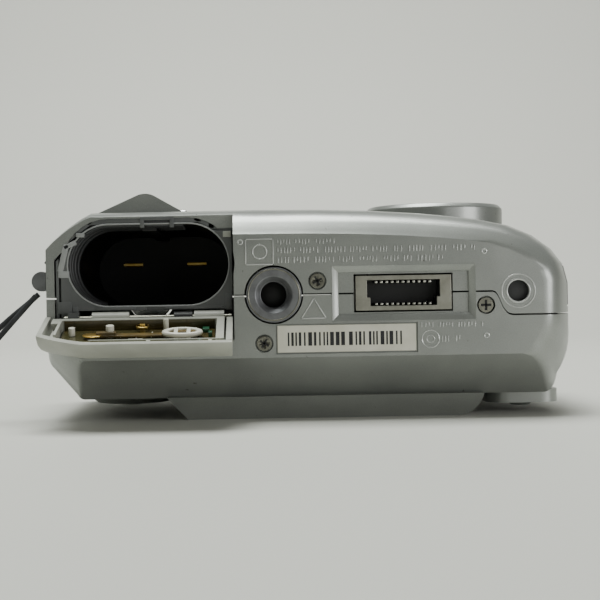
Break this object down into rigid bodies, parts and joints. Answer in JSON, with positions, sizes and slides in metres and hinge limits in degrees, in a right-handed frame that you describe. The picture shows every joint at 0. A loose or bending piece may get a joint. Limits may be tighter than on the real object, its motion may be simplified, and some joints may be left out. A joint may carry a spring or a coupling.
{
  "type": "compact digital camera",
  "caption": "Silver compact digital camera with a screen on its back, a retracting lens and a hinged battery door that stands open.",
  "frame": {"origin": "on the rest face of the raised screen pedestal, under the middle of the body", "axes": "+X along the length from the battery end, +Y from the bottom face to the top face, +Z from the screen side to the lens side"},
  "size_m": [0.2245, 0.0817, 0.0437],
  "materials": {
    "silver_shell": "silver-painted ABS, satin",
    "bay_grey": "moulded grey ABS",
    "black_plastic": "moulded black plastic",
    "door_ivory": "pale grey moulded ABS",
    "bright_steel": "bright plated steel",
    "chrome_trim": "bright chrome plate",
    "gold_contact": "gold-plated spring brass",
    "circuit_board": "printed board under green solder mask",
    "clear_window": "polished clear plastic and glass",
    "label_paper": "cream polyester label",
    "strap_cord": "braided dark nylon"
  },
  "bodies": {
    "camera_body": {"front_cover": "silver_shell", "rear_cover": "silver_shell", "battery_bay_frame": "bay_grey", "battery_chamber": "black_plastic", "battery_contact_left": "gold_contact", "battery_contact_right": "gold_contact", "hinge_rod": "bright_steel", "tripod_bush": "bright_steel", "dock_connector_shell": "bright_steel", "dock_connector_insert": "black_plastic", "blank_label": "label_paper", "bottom_screw_1": "bright_steel", "bottom_screw_2": "bright_steel", "bottom_screw_3": "bright_steel", "strap_post": "chrome_trim", "signal_jack": "black_plastic", "card_slot": "bright_steel", "sensor_board": "circuit_board", "image_sensor": "black_plastic", "lens_base": "black_plastic", "rear_lens": "clear_window", "lens_ring": "silver_shell", "flash_window": "clear_window", "flash_reflector": "bright_steel", "flash_capacitor": "black_plastic", "viewfinder_front": "clear_window", "viewfinder_tunnel": "black_plastic", "viewfinder_eyepiece": "clear_window", "timer_lamp": "clear_window", "grip_trim": "chrome_trim", "screen_window": "clear_window", "screen_module": "black_plastic", "main_board": "circuit_board", "strap_cord_a": "strap_cord", "strap_cord_b": "strap_cord", "strap_joiner": "black_plastic", "strap_webbing": "strap_cord"},
    "door_sleeve": {"door_sleeve": "black_plastic"},
    "battery_door": {"door_shell": "door_ivory", "door_carrier": "door_ivory", "door_board": "circuit_board", "door_contact": "gold_contact"},
    "zoom_barrel": {"zoom_barrel_outer": "bay_grey"},
    "inner_barrel": {"zoom_barrel_inner": "black_plastic", "front_lens": "clear_window"},
    "leaf_low": {"barrier_leaf_low": "black_plastic"},
    "leaf_high": {"barrier_leaf_high": "black_plastic"},
    "shutter": {"shutter_button": "chrome_trim"},
    "flash_key": {"flash_button": "silver_shell"},
    "share_key": {"share_button": "silver_shell"},
    "mode_dial": {"mode_dial": "silver_shell"},
    "stick_ring": {"joystick_gimbal": "black_plastic"},
    "stick_stem": {"joystick_stem": "black_plastic"},
    "stick_cap": {"joystick_cap": "chrome_trim"},
    "zoom_key": {"zoom_rocker": "silver_shell"},
    "delete_key": {"delete_button": "silver_shell"},
    "menu_key": {"menu_button": "silver_shell"},
    "review_key": {"review_button": "silver_shell"},
    "port_flap": {"port_cover": "bay_grey"},
    "card_flap": {"card_door": "silver_shell"}
  },
  "joints": [
    {"name": "door_unlatch", "type": "slide", "parent": "camera_body", "child": "door_sleeve", "axis": [-1, 0, 0], "range_m": [0, 0.0022]},
    {"name": "door_swing", "type": "hinge", "parent": "door_sleeve", "child": "battery_door", "pos_m": [-0.033, -0.0294, 0.0196], "axis": [-1, 0, 0], "range_deg": [0, 104.5]},
    {"name": "zoom_extend", "type": "slide", "parent": "camera_body", "child": "zoom_barrel", "axis": [0, 0, 1], "range_m": [0, 0.009]},
    {"name": "zoom_inner", "type": "slide", "parent": "zoom_barrel", "child": "inner_barrel", "axis": [0, 0, 1], "range_m": [0, 0.0081]},
    {"name": "barrier_low", "type": "slide", "parent": "inner_barrel", "child": "leaf_low", "axis": [0, -1, 0], "range_m": [0, 0.004]},
    {"name": "barrier_high", "type": "slide", "parent": "inner_barrel", "child": "leaf_high", "axis": [0, 1, 0], "range_m": [0, 0.004]},
    {"name": "shutter_press", "type": "slide", "parent": "camera_body", "child": "shutter", "axis": [0, -1, 0], "range_m": [0, 0.0008], "stiffness_N_per_m": 800, "springref_m": -0.0004},
    {"name": "flash_press", "type": "slide", "parent": "camera_body", "child": "flash_key", "axis": [0, -1, 0], "range_m": [0, 0.0005], "stiffness_N_per_m": 800, "springref_m": -0.0004},
    {"name": "share_press", "type": "slide", "parent": "camera_body", "child": "share_key", "axis": [0, -1, 0], "range_m": [0, 0.0005], "stiffness_N_per_m": 800, "springref_m": -0.0004},
    {"name": "mode_turn", "type": "hinge", "parent": "camera_body", "child": "mode_dial", "pos_m": [-0.0367, -0.004, 0.004], "axis": [0, 0, -1], "range_deg": [-120, 120]},
    {"name": "stick_tilt_x", "type": "hinge", "parent": "camera_body", "child": "stick_ring", "pos_m": [-0.0367, -0.004, 0.0051], "axis": [1, 0, 0], "range_deg": [-5, 5], "stiffness_Nm_per_rad": 0.02},
    {"name": "stick_tilt_y", "type": "hinge", "parent": "stick_ring", "child": "stick_stem", "pos_m": [-0.0367, -0.004, 0.0051], "axis": [0, 1, 0], "range_deg": [-5, 5], "stiffness_Nm_per_rad": 0.02},
    {"name": "stick_press", "type": "slide", "parent": "stick_stem", "child": "stick_cap", "axis": [0, 0, 1], "range_m": [0, 0.0003], "stiffness_N_per_m": 800, "springref_m": -0.0004},
    {"name": "zoom_rock", "type": "hinge", "parent": "camera_body", "child": "zoom_key", "pos_m": [-0.0367, 0.021, 0.0057], "axis": [0, 1, 0], "range_deg": [-4, 4], "stiffness_Nm_per_rad": 0.05},
    {"name": "delete_press", "type": "slide", "parent": "camera_body", "child": "delete_key", "axis": [0, 0, 1], "range_m": [0, 0.0005], "stiffness_N_per_m": 800, "springref_m": -0.0004},
    {"name": "menu_press", "type": "slide", "parent": "camera_body", "child": "menu_key", "axis": [0, 0, 1], "range_m": [0, 0.0005], "stiffness_N_per_m": 800, "springref_m": -0.0004},
    {"name": "review_press", "type": "slide", "parent": "camera_body", "child": "review_key", "axis": [0, 0, 1], "range_m": [0, 0.0005], "stiffness_N_per_m": 800, "springref_m": -0.0004},
    {"name": "port_cover_swing", "type": "hinge", "parent": "camera_body", "child": "port_flap", "pos_m": [0.0511, -0.016, 0.0204], "axis": [0, 1, 0], "range_deg": [0, 100]},
    {"name": "card_door_swing", "type": "hinge", "parent": "camera_body", "child": "card_flap", "pos_m": [0.0511, 0.008, 0.0136], "axis": [0, -1, 0], "range_deg": [0, 85]}
  ],
  "couplings": [
    {"joint": "zoom_inner", "follows": "zoom_extend", "ratio": 0.9},
    {"joint": "barrier_high", "follows": "barrier_low", "ratio": 1}
  ]
}
